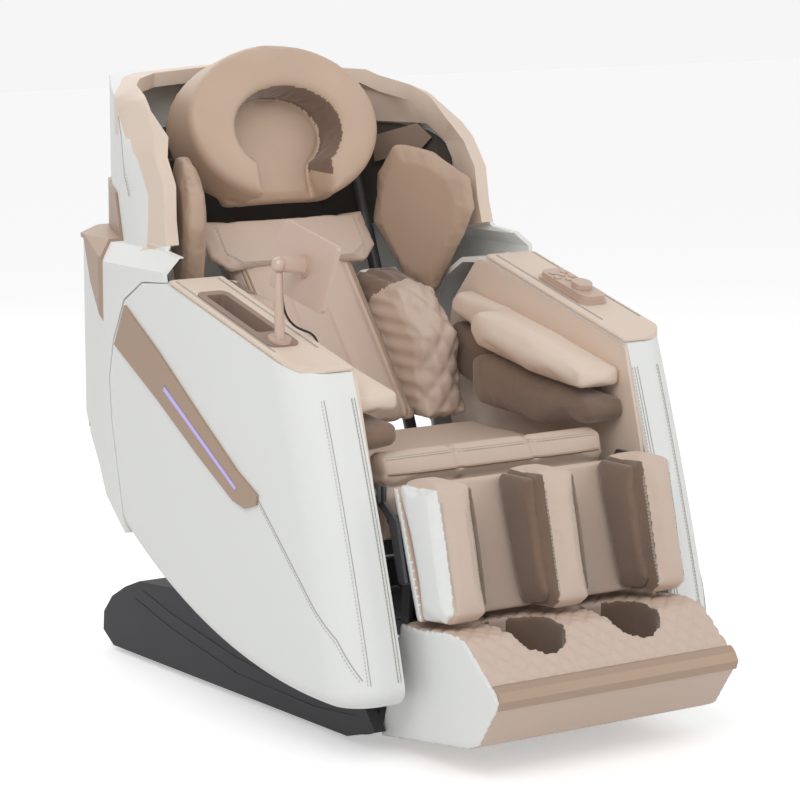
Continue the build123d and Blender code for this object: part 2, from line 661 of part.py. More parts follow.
print("cable bend radii", [round(value, 1) for value in bend_radii(cable_points)])
with BuildPart() as tablet_cable:
    with BuildLine() as cable_path:
        FilletPolyline(*cable_points, radius=bend_radii(cable_points))
    with BuildSketch(Plane(origin=cable_path.line @ 0, z_dir=cable_path.line % 0)):
        Circle(CABLE_RADIUS)
    sweep()
save(tablet_cable, "tablet_cable")
cable_long = sum(edge.length for edge in cable_path.line.edges())
print("cable volume", tablet_cable.part.volume, "section x length", math.pi * CABLE_RADIUS ** 2 * cable_long)

# ---- right arm top: controller with six keys and a turning knob
CONTROL_X = 338
CONTROL_Y = -70
CONTROL_LONG = 150
CONTROL_WIDE = 62
CONTROL_HIGH = 15
KEY_GRID = [(-13, 48), (13, 48), (-17, 26), (17, 26), (0, 37), (0, 14)]
KNOB_ALONG = -24
control_plane = arm_plane(CONTROL_X, CONTROL_Y, JOINT_GAP)
key_well = 6
with BuildPart() as controller_housing:
    with BuildSketch(control_plane):
        RectangleRounded(CONTROL_WIDE, CONTROL_LONG, 20)
    extrude(amount=5)
    with BuildSketch(control_plane.offset(5)):
        RectangleRounded(CONTROL_WIDE - 8, CONTROL_LONG - 8, 18)
    extrude(amount=CONTROL_HIGH - 5)
    with BuildSketch(control_plane.offset(CONTROL_HIGH)):
        with Locations(*KEY_GRID):
            Circle(BUTTON_RADIUS + BUTTON_GAP)
    extrude(amount=-key_well, mode=Mode.SUBTRACT)
    with BuildSketch(control_plane.offset(CONTROL_HIGH)):
        with Locations((0, KNOB_ALONG)):
            Circle(6 + SHAFT_GAP)
    extrude(amount=-key_well, mode=Mode.SUBTRACT)
save(controller_housing, "controller_housing")
for number, key_place in enumerate(KEY_GRID, start=1):
    with BuildPart() as key:
        with BuildSketch(control_plane.offset(CONTROL_HIGH - key_well + BUTTON_TRAVEL + JOINT_GAP)):
            with Locations(key_place):
                Circle(BUTTON_RADIUS)
        extrude(amount=key_well + 0.6)
    save(key, f"control_key_{number}")
with BuildPart() as control_knob:
    with BuildSketch(control_plane.offset(CONTROL_HIGH - key_well + JOINT_GAP)):
        with Locations((0, KNOB_ALONG)):
            Circle(6)
    extrude(amount=key_well)
    with BuildSketch(control_plane.offset(CONTROL_HIGH + JOINT_GAP)):
        with Locations((0, KNOB_ALONG)):
            Circle(KNOB_RADIUS)
    extrude(amount=11)
    fillet(control_knob.faces().sort_by(Axis.Z)[-1].edges(), 2.5)
save(control_knob, "control_knob")

# ================================================================ RECLINING BACK
BACK_WALL = 8
hood_front = [(140, 794), (194, 800), (207, 850), (213, 912), (268, 992), (337, 1041), (410, 1074),
              (500, 1091), (596, 1096)]
back_seam = [(point[0] + BODY_GAP, point[1] + 2) for point in SEAM]
back_side = [*hood_front, (636, 1060), (645, 900), (638, 811), (606, 670), (563, 580), (512, 490),
             (470, 440), (400, 395), *reversed(back_seam)]
lower_plan = [(0, 80), (HALF_WIDTH, 80), (HALF_WIDTH, 345), (352, 500), (262, 600), (0, 645)]
hood_plan = [(0, 80), (366, 80), (352, 345), (278, 520), (236, 600), (0, 643)]
front_view = [(0, 250), (HALF_WIDTH, 250), (HALF_WIDTH, 770), (356, 808), (348, 965), (310, 1046),
              (250, 1084), (0, 1097)]
HOOD_FLOOR = 800            # above this height the hood is narrower than the back


def half_outline(points):
    """A right-half outline and its mirror image as one closed polyline."""
    left = [(-x, y) for x, y in reversed(points) if x > 0]
    return points + left


def back_block(inset, open_front):
    """The back's closed outside shape, shrunk by inset; open_front runs it out past the seam."""
    side = list(back_side)
    if open_front:
        side = [(y - open_front, z) for y, z in hood_front[:5]] + side[5:]
        side = side[:len(back_side) - len(back_seam)]
        side = side + [(y - open_front, z) for y, z in reversed(back_seam)]
    block = slab(side, -HALF_WIDTH, HALF_WIDTH, inset=inset)
    with BuildPart() as shape:
        add(block.part)
        with BuildSketch(Plane.XZ):
            with BuildLine():
                Polyline(*half_outline(front_view), close=True)
            make_face()
            if inset:
                offset(amount=-inset, kind=Kind.INTERSECTION)
        extrude(amount=-700, mode=Mode.INTERSECT)
    with BuildPart() as low:
        with BuildSketch(Plane.XY.offset(200)):
            with BuildLine():
                Polyline(*half_outline(lower_plan), close=True)
            make_face()
            if inset:
                offset(amount=-inset, kind=Kind.INTERSECTION)
        extrude(amount=HOOD_FLOOR - 200 - inset)
        add(shape.part, mode=Mode.INTERSECT)
    with BuildPart() as high:
        with BuildSketch(Plane.XY.offset(HOOD_FLOOR - inset)):
            with BuildLine():
                Polyline(*half_outline(hood_plan), close=True)
            make_face()
            if inset:
                offset(amount=-inset, kind=Kind.INTERSECTION)
        extrude(amount=400)
        add(shape.part, mode=Mode.INTERSECT)
    with BuildPart() as whole:
        add(low.part)
        add(high.part)
    return whole


RIM_THICK = 26
RIM_WIDE = 42
rim_inner_line = [(262, 794), (262, 850), (264, 892), (305, 952), (368, 1000), (420, 1022)]
roof_opening = [(0, 60), (306, 60), (306, 330), (266, 448), (176, 538), (0, 568)]
ROOF_FROM = 985             # height above which the hood's roof is cut open over the pillow
outside_block = back_block(0, 0)
shell_room = back_block(BACK_WALL, 90)
rim_room = back_block(RIM_THICK, 90)
side_strip = slab([*[(y - 60, z + 40) for y, z in hood_front[:7]], *reversed(rim_inner_line)],
                  -HALF_WIDTH - 1, HALF_WIDTH + 1)
with BuildPart() as roof_hole:
    with BuildSketch(Plane.XY.offset(ROOF_FROM)):
        with BuildLine():
            Polyline(*half_outline(roof_opening), close=True)
        make_face()
    extrude(amount=200)
with BuildPart() as rim_zone:
    with BuildSketch(Plane.XY.offset(ROOF_FROM)):
        with BuildLine():
            Polyline(*half_outline(roof_opening), close=True)
        make_face()
        offset(amount=RIM_WIDE, kind=Kind.INTERSECTION)
    extrude(amount=200)
    add(side_strip.part)
floor_cut = slab([(230, 230), (230, 420), (462, 470), (490, 430), (400, 340), (300, 230)], -362, 362)
with BuildPart() as back_shell:
    add(outside_block.part)
    add(shell_room.part, mode=Mode.SUBTRACT)
    add(rim_zone.part, mode=Mode.SUBTRACT)
    add(floor_cut.part, mode=Mode.SUBTRACT)
save(back_shell, "back_shell")
with BuildPart() as hood_rim:
    add(outside_block.part)
    add(rim_room.part, mode=Mode.SUBTRACT)
    add(rim_zone.part, mode=Mode.INTERSECT)
    add(roof_hole.part, mode=Mode.SUBTRACT)
save(hood_rim, "hood_rim")

# Bronze band round the back shell, in line with the bands on the arms.
with BuildPart() as rear_band:
    add(back_block(-BAND_STAND, 0).part)
    add(back_block(-0.2, 0).part, mode=Mode.SUBTRACT)
    add(slab([(278, 712), (355, 778), (450, 880), (700, 900), (700, 800), (480, 797), (429, 724),
              (319, 642)], -HALF_WIDTH - 20, HALF_WIDTH + 20).part, mode=Mode.INTERSECT)
save(rear_band, "rear_band")

# Back frame: two side tubes, cross tubes and the hinge plates at the foot.
FRAME_TUBE = 12
FRAME_X = 236
frame_foot = (262, 330)
frame_head = (505, 940)
frame_long = math.dist(frame_foot, frame_head)
frame_rise = Vector(0, frame_head[0] - frame_foot[0], frame_head[1] - frame_foot[1]).normalized()
with BuildPart() as back_frame:
    for side in (-1, 1):
        with BuildSketch(Plane(origin=(side * FRAME_X, *frame_foot), z_dir=frame_rise)):
            Circle(FRAME_TUBE)
        extrude(amount=frame_long)
        with BuildSketch(Plane.YZ.offset(side * CHILD_PLATE_INSIDE)):
            with BuildLine():
                Polyline((232, 278), (258, 278), (300, 400), (276, 412), (232, 304), close=True)
            make_face()
            with Locations((BACK_PIVOT_Y, BACK_PIVOT_Z)):
                Circle(PIVOT_RADIUS + SHAFT_GAP, mode=Mode.SUBTRACT)
        extrude(amount=side * HINGE_PLATE)
        with BuildSketch(Plane.YZ.offset(side * (FRAME_X + 6))):
            with Locations((278, 372)):
                Rectangle(16, 40, rotation=-21)
        extrude(amount=side * (CHILD_PLATE_INSIDE - FRAME_X - 6))
    for share in (0.08, 0.5, 0.97):
        middle_y = frame_foot[0] + share * (frame_head[0] - frame_foot[0])
        middle_z = frame_foot[1] + share * (frame_head[1] - frame_foot[1])
        with BuildSketch(Plane.YZ.offset(-FRAME_X)):
            with Locations((middle_y, middle_z)):
                Circle(FRAME_TUBE - 2)
        extrude(amount=2 * FRAME_X)
save(back_frame, "back_frame")

# Roller track: two toothed rails that the massage carriage climbs.
TRACK_FROM = 20
TRACK_TO = 500
TRACK_DEEP = 76             # the rails' front edge behind the cushion's face
TRACK_X = 92
TRACK_WIDE = 14
TRACK_THICK = 16
with BuildPart() as roller_track:
    for side in (-1, 1):
        with BuildSketch(back_plane(TRACK_FROM, TRACK_DEEP + TRACK_THICK, side * TRACK_X)):
            with Locations((0, (TRACK_TO - TRACK_FROM) / 2)):
                Rectangle(TRACK_WIDE, TRACK_TO - TRACK_FROM)
        extrude(amount=TRACK_THICK)
    for along in (TRACK_FROM + 20, TRACK_TO - 20):
        with BuildSketch(back_plane(along, TRACK_DEEP + TRACK_THICK + 6)):
            Rectangle(2 * TRACK_X + TRACK_WIDE, 26)
        extrude(amount=6)
save(roller_track, "roller_track")

# Massage carriage: a plate with a gearbox and two arms, carrying four kneading rollers.
CARRIAGE_AT = 60            # lowest rest place along the back
CARRIAGE_HALF = TRACK_X - TRACK_WIDE / 2 - JOINT_GAP
CARRIAGE_DEEP = TRACK_DEEP + 14
ROLLER_X = 46
with BuildPart() as massage_carriage:
    with BuildSketch(back_plane(CARRIAGE_AT + 55, CARRIAGE_DEEP)):
        Rectangle(2 * CARRIAGE_HALF, 100)
    extrude(amount=5)
    with BuildSketch(back_plane(CARRIAGE_AT + 55, CARRIAGE_DEEP - 5)):
        RectangleRounded(50, 80, 8)
    extrude(amount=14)
    for side in (-1, 1):
        with BuildSketch(back_plane(CARRIAGE_AT + 55, CARRIAGE_DEEP - 5, side * (ROLLER_X - 16))):
            Rectangle(6, 90)
        extrude(amount=26)
KNEAD_RADIUS = 14
KNEAD_DEEP = CARRIAGE_DEEP - 26
for level, along in (("lower", CARRIAGE_AT + 22), ("upper", CARRIAGE_AT + 88)):
    roll_y, roll_z = back_point(along, KNEAD_DEEP)
    with BuildPart() as kneading_rollers:
        with BuildSketch(Plane.YZ.offset(-ROLLER_X - 12)):
            with Locations((roll_y, roll_z)):
                Circle(4)
        extrude(amount=2 * ROLLER_X + 24)
        for side in (-1, 1):
            with BuildSketch(Plane.YZ.offset(side * (ROLLER_X - 10))):
                with Locations((roll_y, roll_z)):
                    Circle(KNEAD_RADIUS)
            extrude(amount=side * 20)
    save(kneading_rollers, f"kneading_rollers_{level}")
with BuildPart() as carriage_bore:
    for along in (CARRIAGE_AT + 22, CARRIAGE_AT + 88):
        roll_y, roll_z = back_point(along, KNEAD_DEEP)
        with BuildSketch(Plane.YZ.offset(-ROLLER_X)):
            with Locations((roll_y, roll_z)):
                Circle(4 + SHAFT_GAP)
        extrude(amount=2 * ROLLER_X)
with BuildPart() as massage_carriage_bored:
    add(massage_carriage.part)
    add(carriage_bore.part, mode=Mode.SUBTRACT)
save(massage_carriage_bored, "massage_carriage")

# Back cushion: a centre panel and two side bolsters.
back_cushion = soft([(114, 462), back_point(462, 0), back_point(462, CUSHION_DEEP),
                     back_point(45, CUSHION_DEEP)], -132, 132, 8, 8)
save(back_cushion, "back_cushion")
bolster = soft([(88, 464), (108, 625), (190, 700), back_point(340, 0), back_point(340, CUSHION_DEEP),
                back_point(46, CUSHION_DEEP)], 132 + SOFT_GAP, 222, 8, 8)
save_both(bolster, "back_bolsters")

# Shoulder flap over the upper back and the two shoulder airbag pads.
FLAP_THICK = 14
with BuildPart() as shoulder_flap:
    with BuildSketch(back_plane(500, -SOFT_GAP)):
        with BuildLine():
            Polyline(*half_outline([(0, -150), (150, -150), (184, -118), (184, -42), (0, -42)]), close=True)
        make_face()
    extrude(amount=FLAP_THICK)
    fillet(shoulder_flap.faces().sort_by(Axis.Y)[0].edges(), 4)
save(shoulder_flap, "shoulder_flap")

PAD_THICK = 30
pad_along = Vector(-0.38, 0.925, 0).normalized()
pad_plane = Plane(origin=(255, 292, 812), x_dir=pad_along, z_dir=pad_along.cross(Vector(0, 0, 1)))
with BuildPart() as shoulder_pad:
    with BuildSketch(pad_plane.offset(-PAD_THICK / 2)) as pad_outline:
        with BuildLine():
            Polyline((102, -10), (92, 84), (54, 140), (-27, 128), (-108, 84), (-118, 26), (-98, -24),
                     (-34, -140), (22, -126), close=True)
        make_face()
        fillet(pad_outline.vertices(), 16)
    extrude(amount=PAD_THICK)
    pad_axis = Axis((0, 0, 0), pad_plane.z_dir)
    fillet(shoulder_pad.faces().sort_by(pad_axis)[-1].edges(), 9)
    fillet(shoulder_pad.faces().sort_by(pad_axis)[0].edges(), 9)
save_both(shoulder_pad, "shoulder_pads")

# Hood lining, and the speaker grilles on it.
with BuildPart() as hood_lining:
    add(back_block(BACK_WALL + 1, 90).part)
    add(back_block(BACK_WALL + 5, 92).part, mode=Mode.SUBTRACT)
    add(slab([(300, 822), (312, 940), (372, 970), (432, 980), (512, 980), (640, 980), (660, 780),
              (420, 780)], -HALF_WIDTH, HALF_WIDTH).part, mode=Mode.INTERSECT)
save(hood_lining, "hood_lining")
grille_along = Vector(-0.3975, 0.9176, 0).normalized()
grille_plane = Plane(origin=(302, 410, 950), x_dir=grille_along, z_dir=Vector(0, 0, 1).cross(grille_along))
with BuildPart() as speaker_right:
    with BuildSketch(grille_plane):
        with BuildLine():
            Polyline((-62, -8), (-30, -34), (70, -6), (66, 44), (20, 32), (-40, 14), close=True)
        make_face()
    extrude(amount=4)
with BuildPart() as speaker_grilles:
    add(speaker_right.part)
    mirror(speaker_right.part, about=Plane.YZ)
save(speaker_grilles, "speaker_grilles")

# Head pillow: a horseshoe ring with a centre pad, hung from a strap over the hood.
PILLOW_WIDE = 204
PILLOW_TALL = 150
PILLOW_DEEP = 112
lean = math.radians(PILLOW_LEAN)
pillow_plane = Plane(origin=(0, PILLOW_Y, PILLOW_Z), x_dir=(1, 0, 0),
                     z_dir=(0, -math.cos(lean), math.sin(lean)))
with BuildPart() as pillow_ring:
    with BuildSketch(pillow_plane.offset(-PILLOW_DEEP / 2)):
        Ellipse(PILLOW_WIDE, PILLOW_TALL)
        with Locations((0, -14)):
            Ellipse(112, 78, mode=Mode.SUBTRACT)
        with Locations((0, -100)):
            Rectangle(150, 110, mode=Mode.SUBTRACT)
    extrude(amount=PILLOW_DEEP)
    fillet(pillow_ring.faces().sort_by(Axis.Y)[0].edges(), 20)
with BuildPart() as head_pillow:
    add(pillow_ring.part)
    with BuildSketch(pillow_plane.offset(-PILLOW_DEEP / 2)):
        with Locations((0, -42)):
            RectangleRounded(250, 190, 30)
    extrude(amount=34)
save(head_pillow, "head_pillow")

# ================================================================ LIFTING LEG REST
CHANNEL_IN = 46             # inner side of each calf channel
CHANNEL_OUT = 164
leg_side = [(-345, 452), (-368, 468), (-469, 471), (-494, 380), (-520, 262), (-500, 246), (-416, 238)]
with BuildPart() as leg_frame:
    for side in (-1, 1):
        with BuildSketch(Plane.YZ.offset(side * CHILD_PLATE_INSIDE)):
            with BuildLine():
                Polyline((-336, 452), (-304, 452), (-304, 430), (-350, 396), (-378, 300), (-398, 300),
                         (-372, 400), (-336, 426), close=True)
            make_face()
            with Locations((LEG_PIVOT_Y, LEG_PIVOT_Z)):
                Circle(PIVOT_RADIUS + SHAFT_GAP, mode=Mode.SUBTRACT)
        extrude(amount=side * HINGE_PLATE)
    for cross_y, cross_z in ((-341, 396), (-373, 300)):
        with BuildSketch(Plane.YZ.offset(-CHILD_PLATE_INSIDE)):
            with Locations((cross_y - 4, cross_z)):
                Circle(8)
        extrude(amount=2 * CHILD_PLATE_INSIDE)
with BuildPart() as calf_housing:
    add(slab([(-345, 452), (-361, 452), (-432, 238), (-416, 238)], -LEG_HALF, LEG_HALF).part)
    for cross_y, cross_z in ((-341, 396), (-373, 300)):
        with BuildSketch(Plane.YZ.offset(-LEG_HALF - 1)):
            with Locations((cross_y - 4, cross_z)):
                Circle(8.3)
        extrude(amount=2 * LEG_HALF + 2, mode=Mode.SUBTRACT)
save(calf_housing, "calf_housing")
wall_side = [(-361.4, 451), (-372, 466), (-469, 471), (-494, 380), (-520, 262), (-500, 246), (-432, 240)]
with BuildPart() as calf_wall_outer:
    add(soft(wall_side, CHANNEL_OUT + 14, LEG_HALF, 6, 8).part)
with BuildPart() as calf_wall_middle:
    add(soft(wall_side, -CHANNEL_IN + 12, CHANNEL_IN - 12, 6, 8).part)
with BuildPart() as calf_walls:
    add(calf_wall_outer.part)
    mirror(calf_wall_outer.part, about=Plane.YZ)
    add(calf_wall_middle.part)
save(calf_walls, "calf_walls")
pad_side = [(-362.4, 448), (-374, 460), (-455, 462), (-478, 380), (-502, 272), (-490, 256), (-432.6, 244)]
outer_pad = soft(pad_side, CHANNEL_OUT, CHANNEL_OUT + 13.5, 6, 4)
inner_pad = soft(pad_side, CHANNEL_IN - 11.5, CHANNEL_IN + 2, 6, 4)
with BuildPart() as calf_pads:
    add(outer_pad.part)
    mirror(outer_pad.part, about=Plane.YZ)
    add(inner_pad.part)
    mirror(inner_pad.part, about=Plane.YZ)
save(calf_pads, "calf_pads")

# Guide tubes on the leg rest: the foot section slides on them, along the calf housing's slope.
leg_slope = Vector(0, -416 + 345, 238 - 452).normalized()
GUIDE_X = 105
GUIDE_RADIUS = 8
guide_start = Vector(0, -364, 420)
with BuildPart() as guide_tubes:
    for side in (-1, 1):
        start = guide_start + Vector(side * GUIDE_X, 31, 0)
        with BuildSketch(Plane(origin=start, z_dir=leg_slope)):
            Circle(GUIDE_RADIUS)
        extrude(amount=330)
with BuildPart() as welded_leg:
    add(leg_frame.part)
    add(guide_tubes.part)
save(welded_leg, "leg_frame")

# ================================================================ SLIDING FOOT SECTION
foot_side = [(-311, 20), (-560, 52), (-592, 64), (-640, 134), (-645, 148), (-638, 160), (-550, 232),
             (-500, 236), (-424, 226), (-370, 226)]
WELL_X = 100
SOLE_Z = 96                 # height of the sole rollers' shafts
SOLE_FRONT_Y = -537
SOLE_REAR_Y = -489
SOLE_LUG_X = 166
FOOT_WALL = 8
foot_outside = slab(foot_side, -LEG_HALF, LEG_HALF, inset=0)
foot_inside = slab(foot_side, -LEG_HALF + FOOT_WALL, LEG_HALF - FOOT_WALL, inset=FOOT_WALL)
FOOT_WELL_LONG = 150
FOOT_WELL_WIDE = 106
WELL_FLOOR = 108
with BuildPart() as well_liner:
    with BuildSketch(Plane.XY.offset(WELL_FLOOR - 6)):
        for side in (-1, 1):
            with Locations((side * WELL_X, -512)):
                SlotOverall(FOOT_WELL_LONG + 12, FOOT_WELL_WIDE + 12, rotation=90)
    extrude(amount=160)
    add(foot_outside.part, mode=Mode.INTERSECT)
with BuildPart() as foot_housing:
    add(foot_outside.part)
    add(foot_inside.part, mode=Mode.SUBTRACT)
    add(well_liner.part)
    with BuildSketch(Plane.XY.offset(WELL_FLOOR)):
        for side in (-1, 1):
            with Locations((side * WELL_X, -512)):
                SlotOverall(FOOT_WELL_LONG, FOOT_WELL_WIDE, rotation=90)
    extrude(amount=200, mode=Mode.SUBTRACT)
    with BuildSketch(Plane.XY.offset(WELL_FLOOR - 20)):
        for side in (-1, 1):
            with Locations((side * WELL_X, -512)):
                Rectangle(70, 96)
    extrude(amount=40, mode=Mode.SUBTRACT)
    for side in (-1, 1):
        start = guide_start + Vector(side * GUIDE_X, 31, 0)
        with BuildSketch(Plane(origin=start, z_dir=leg_slope)):
            Circle(GUIDE_RADIUS + 1)
        extrude(amount=600, mode=Mode.SUBTRACT)
        with BuildSketch(Plane.YZ.offset(side * SOLE_LUG_X)):
            with Locations((-513, 78)):
                Rectangle(76, 60)
            with Locations((SOLE_FRONT_Y, SOLE_Z), (SOLE_REAR_Y, SOLE_Z)):
                Circle(5 + SHAFT_GAP, mode=Mode.SUBTRACT)
        extrude(amount=side * 5)
save(foot_housing, "foot_housing")

# Stitched ribbon along the nose, and the sole rollers under the wells.
RIBBON_THICK = 4
with BuildPart() as nose_ribbon:
    add(slab(foot_side, -LEG_HALF + 2, LEG_HALF - 2, inset=-RIBBON_THICK).part)
    add(slab(foot_side, -LEG_HALF, LEG_HALF, inset=-JOINT_GAP).part, mode=Mode.SUBTRACT)
    add(slab([(-700, 134), (-630, 134), (-625, 171), (-700, 171)], -LEG_HALF, LEG_HALF).part,
        mode=Mode.INTERSECT)
save(nose_ribbon, "nose_ribbon")
SOLE_RADIUS = 17
for place, sole_y in (("front", SOLE_FRONT_Y), ("rear", SOLE_REAR_Y)):
    with BuildPart() as sole_rollers:
        with BuildSketch(Plane.YZ.offset(-SOLE_LUG_X - 8)):
            with Locations((sole_y, SOLE_Z)):
                Circle(5)
        extrude(amount=2 * SOLE_LUG_X + 16)
        for side in (-1, 1):
            for lane in (-18, 18):
                with BuildSketch(Plane.YZ.offset(side * WELL_X + lane - 9)):
                    with Locations((sole_y, SOLE_Z)):
                        Circle(SOLE_RADIUS)
                extrude(amount=18)
    save(sole_rollers, f"sole_rollers_{place}")
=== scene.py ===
import json
import math
import bpy
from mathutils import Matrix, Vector
from mathutils.bvhtree import BVHTree


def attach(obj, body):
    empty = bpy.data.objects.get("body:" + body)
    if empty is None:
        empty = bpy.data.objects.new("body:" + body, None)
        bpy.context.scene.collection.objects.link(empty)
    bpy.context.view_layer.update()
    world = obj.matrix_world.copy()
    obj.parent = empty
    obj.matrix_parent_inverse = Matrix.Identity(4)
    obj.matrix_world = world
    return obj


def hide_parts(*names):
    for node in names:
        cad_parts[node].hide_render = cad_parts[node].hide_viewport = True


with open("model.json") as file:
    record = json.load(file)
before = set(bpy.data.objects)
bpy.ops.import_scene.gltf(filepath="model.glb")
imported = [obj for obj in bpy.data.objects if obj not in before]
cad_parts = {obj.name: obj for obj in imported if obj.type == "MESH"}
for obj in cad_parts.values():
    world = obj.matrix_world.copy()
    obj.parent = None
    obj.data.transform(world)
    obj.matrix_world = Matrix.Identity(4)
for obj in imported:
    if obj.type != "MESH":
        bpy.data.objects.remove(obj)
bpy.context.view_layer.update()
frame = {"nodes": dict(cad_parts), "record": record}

bl_info = {
    "name": "Massage Chair",
    "version": (1, 0, 0),
    "blender": (4, 5, 0),
    "location": "3D Viewport > Sidebar > Massage Chair",
    "description": "Builds the finished massage chair around its packed frame",
    "category": "Add Mesh",
}

BODY_OF = {node: body for body, nodes in frame["record"]["behaviour"]["bodies"].items() for node in nodes}
DOWN = Vector((0, 0, -1))
BACK_LEAN = math.radians(37.8)
BACK_IN = Vector((0, math.cos(BACK_LEAN), -math.sin(BACK_LEAN)))
SMOOTH_ANGLE = math.radians(35)
LEG_SIDE = 0.240            # past this the leg rest's sides are white
PILLOW_LEAN = math.radians(19)
PILLOW_MIDDLE_Z = 1.03
PILLOW_REACH = 0.15         # past this the pillow's ring is leather on every face
BACK_FOOT_Y = 0.110         # lower end of the back cushion's face
BACK_FOOT_Z = 0.455
CAP_CORNER = 0.074          # corner radius of an arm cap in plan, and its middle
CAP_CORNER_X = 0.3245
CAP_CORNER_Y = -0.214
DROP_FROM = 0.25            # how far off a surface a seam's points start
STITCH_HALF = 0.0021
STITCH_SHORTEST = 0.002     # gaps in a row of points outside these hold no stitch
STITCH_LONGEST = 0.03
SIMULATED_FRAMES = 15


def back_point(x, along, deep):
    """A point up the back cushion's face and this deep behind it, in metres."""
    y = BACK_FOOT_Y + along * math.sin(BACK_LEAN) + deep * math.cos(BACK_LEAN)
    return Vector((x, y, BACK_FOOT_Z + along * math.cos(BACK_LEAN) - deep * math.sin(BACK_LEAN)))


# ---------------------------------------------------------------- materials
def finish(name, colour, rough, grain=0.0, scale=60.0, depth=0.002, metallic=0.0, shade=0.12, sheen=0.0,
           coat=0.0, glow=0.0, cells=False):
    """A procedural finish: a base colour with slight shading and a raised grain, on Object coordinates."""
    if name in bpy.data.materials:
        return bpy.data.materials[name]
    material = bpy.data.materials.new(name)
    material.use_nodes = True
    nodes, links = material.node_tree.nodes, material.node_tree.links
    shader = nodes["Principled BSDF"]
    shader.inputs["Roughness"].default_value = rough
    shader.inputs["Metallic"].default_value = metallic
    shader.inputs["Sheen Weight"].default_value = sheen
    shader.inputs["Coat Weight"].default_value = coat
    if glow:
        shader.inputs["Emission Color"].default_value = (*colour, 1)
        shader.inputs["Emission Strength"].default_value = glow
    place = nodes.new("ShaderNodeTexCoord")
    cloud = nodes.new("ShaderNodeTexNoise")
    cloud.inputs["Scale"].default_value = 7
    cloud.inputs["Detail"].default_value = 5
    tint = nodes.new("ShaderNodeValToRGB")
    tint.color_ramp.elements[0].position = 0.3
    tint.color_ramp.elements[1].position = 0.75
    tint.color_ramp.elements[0].color = (*[c * (1 - shade) for c in colour], 1)
    tint.color_ramp.elements[1].color = (*colour, 1)
    links.new(place.outputs["Object"], cloud.inputs["Vector"])
    links.new(cloud.outputs["Fac"], tint.inputs["Fac"])
    links.new(tint.outputs["Color"], shader.inputs["Base Color"])
    if grain:
        pores = nodes.new("ShaderNodeTexVoronoi" if cells else "ShaderNodeTexNoise")
        pores.inputs["Scale"].default_value = scale
        bump = nodes.new("ShaderNodeBump")
        bump.inputs["Strength"].default_value = grain
        bump.inputs["Distance"].default_value = depth
        links.new(place.outputs["Object"], pores.inputs["Vector"])
        links.new(pores.outputs["Distance" if cells else "Fac"], bump.inputs["Height"])
        links.new(bump.outputs["Normal"], shader.inputs["Normal"])
    return material


def leather(name, colour):
    return finish(name, colour, 0.48, grain=0.35, scale=520, depth=0.0006, shade=0.10, cells=True, sheen=0.05)


def suede(name, colour):
    return finish(name, colour, 0.9, grain=0.5, scale=300, depth=0.001, shade=0.3, sheen=0.4)


def seen_directly(tree, gain, base):
    """The strength base, plus gain for what the camera and reflections see."""
    path = tree.nodes.new("ShaderNodeLightPath")
    either = tree.nodes.new("ShaderNodeMath")
    either.operation = "MAXIMUM"
    strength = tree.nodes.new("ShaderNodeMath")
    strength.operation = "MULTIPLY_ADD"
    strength.inputs[1].default_value = gain
    strength.inputs[2].default_value = base
    tree.links.new(path.outputs["Is Camera Ray"], either.inputs[0])
    tree.links.new(path.outputs["Is Glossy Ray"], either.inputs[1])
    tree.links.new(either.outputs[0], strength.inputs[0])
    return strength.outputs[0]


def colours():
    return bpy.context.scene.chair_finish


# ---------------------------------------------------------------- shaping helpers
def clear_selection():
    bpy.ops.object.select_all(action="DESELECT")


def pick(obj):
    clear_selection()
    obj.select_set(True)
    bpy.context.view_layer.objects.active = obj


def copy_node(node, name):
    """A merged copy of a CAD node's mesh, in the same place."""
    source = frame["nodes"][node]
    obj = bpy.data.objects.new(name, source.data.copy())
    bpy.context.scene.collection.objects.link(obj)
    obj.data.materials.clear()
    pick(obj)
    bpy.ops.object.mode_set(mode="EDIT")
    bpy.ops.mesh.select_all(action="SELECT")
    bpy.ops.mesh.remove_doubles(threshold=0.00005)
    bpy.ops.mesh.customdata_custom_splitnormals_clear()
    bpy.ops.object.mode_set(mode="OBJECT")
    return obj


def apply_all(obj):
    pick(obj)
    for modifier in list(obj.modifiers):
        bpy.ops.object.modifier_apply(modifier=modifier.name)


def remesh(obj, voxel):
    step = obj.modifiers.new("Voxels", "REMESH")
    step.mode = "VOXEL"
    step.voxel_size = voxel
    ease = obj.modifiers.new("Ease", "SMOOTH")
    ease.iterations = 3
    apply_all(obj)


def inflate(obj, cap, pressure=4.0):
    """Swell a closed cushion with a short cloth simulation, each point held within the cap."""
    rest = [v.co.copy() for v in obj.data.vertices]
    cloth = obj.modifiers.new("Cloth", "CLOTH")
    cloth.settings.use_pressure = True
    cloth.settings.uniform_pressure_force = pressure
    cloth.settings.effector_weights.gravity = 0
    cloth.settings.quality = 4
    scene = bpy.context.scene
    for step in range(1, SIMULATED_FRAMES + 1):
        scene.frame_set(step)
    apply_all(obj)
    scene.frame_set(1)
    for vertex, start in zip(obj.data.vertices, rest):
        move = vertex.co - start
        if move.length > cap:
            vertex.co = start + move * (cap / move.length)


def groove(obj, distance, depth, width):
    """Press a sewn channel where the distance function is near zero."""
    normals = [v.normal.copy() for v in obj.data.vertices]
    for vertex, normal in zip(obj.data.vertices, normals):
        d = distance(vertex.co, normal)
        if d is not None and abs(d) < 3 * width:
            vertex.co -= normal * (depth * math.exp(-(d / width) ** 2))


def near(value, places):
    return min(abs(value - place) for place in places)


def finish_piece(obj, node, material, extra=()):
    for item in (material, *extra):
        obj.data.materials.append(item)
    for face in obj.data.polygons:
        face.use_smooth = True
    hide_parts(node)
    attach(obj, BODY_OF[node])


def surface(obj):
    bpy.context.view_layer.update()
    return BVHTree.FromObject(obj, bpy.context.evaluated_depsgraph_get())


